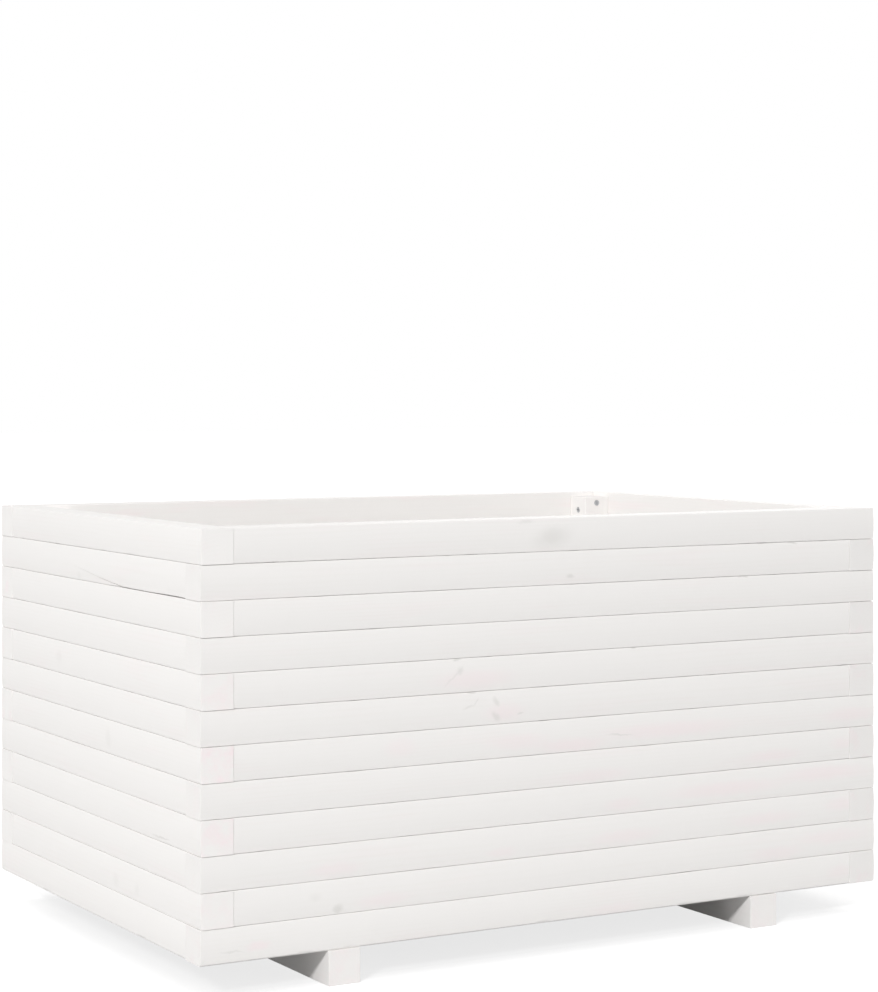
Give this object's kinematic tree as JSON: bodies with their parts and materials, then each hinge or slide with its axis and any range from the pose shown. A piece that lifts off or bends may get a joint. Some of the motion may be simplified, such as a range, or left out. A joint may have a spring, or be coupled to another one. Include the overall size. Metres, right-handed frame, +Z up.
{
  "type": "wooden planter",
  "caption": "Rectangular floor planter of stacked white painted timber rails with alternating lapped corners on two cross bearers, open at the top, with a slatted drained floor.",
  "frame": {"origin": "on the ground under the middle of the planter", "axes": "+Z up, +X along the length, front wall towards -Y"},
  "size_m": [0.9, 0.6, 0.494],
  "materials": {
    "painted_pine": "planed, white semi-matt paint",
    "screw_steel": "zinc plated"
  },
  "bodies": {
    "root": {"back_rail_01": "painted_pine", "back_rail_02": "painted_pine", "back_rail_03": "painted_pine", "back_rail_04": "painted_pine", "back_rail_05": "painted_pine", "back_rail_06": "painted_pine", "back_rail_07": "painted_pine", "back_rail_08": "painted_pine", "back_rail_09": "painted_pine", "back_rail_10": "painted_pine", "back_rail_11": "painted_pine", "back_rail_12": "painted_pine", "batten_back_left": "painted_pine", "batten_back_right": "painted_pine", "batten_front_left": "painted_pine", "batten_front_right": "painted_pine", "bearer_left": "painted_pine", "bearer_right": "painted_pine", "floor_board_1": "painted_pine", "floor_board_2": "painted_pine", "floor_board_3": "painted_pine", "floor_board_4": "painted_pine", "floor_screws": "screw_steel", "front_rail_01": "painted_pine", "front_rail_02": "painted_pine", "front_rail_03": "painted_pine", "front_rail_04": "painted_pine", "front_rail_05": "painted_pine", "front_rail_06": "painted_pine", "front_rail_07": "painted_pine", "front_rail_08": "painted_pine", "front_rail_09": "painted_pine", "front_rail_10": "painted_pine", "front_rail_11": "painted_pine", "front_rail_12": "painted_pine", "left_rail_01": "painted_pine", "left_rail_02": "painted_pine", "left_rail_03": "painted_pine", "left_rail_04": "painted_pine", "left_rail_05": "painted_pine", "left_rail_06": "painted_pine", "left_rail_07": "painted_pine", "left_rail_08": "painted_pine", "left_rail_09": "painted_pine", "left_rail_10": "painted_pine", "left_rail_11": "painted_pine", "left_rail_12": "painted_pine", "right_rail_01": "painted_pine", "right_rail_02": "painted_pine", "right_rail_03": "painted_pine", "right_rail_04": "painted_pine", "right_rail_05": "painted_pine", "right_rail_06": "painted_pine", "right_rail_07": "painted_pine", "right_rail_08": "painted_pine", "right_rail_09": "painted_pine", "right_rail_10": "painted_pine", "right_rail_11": "painted_pine", "right_rail_12": "painted_pine", "wall_screws": "screw_steel"}
  },
  "joints": []
}
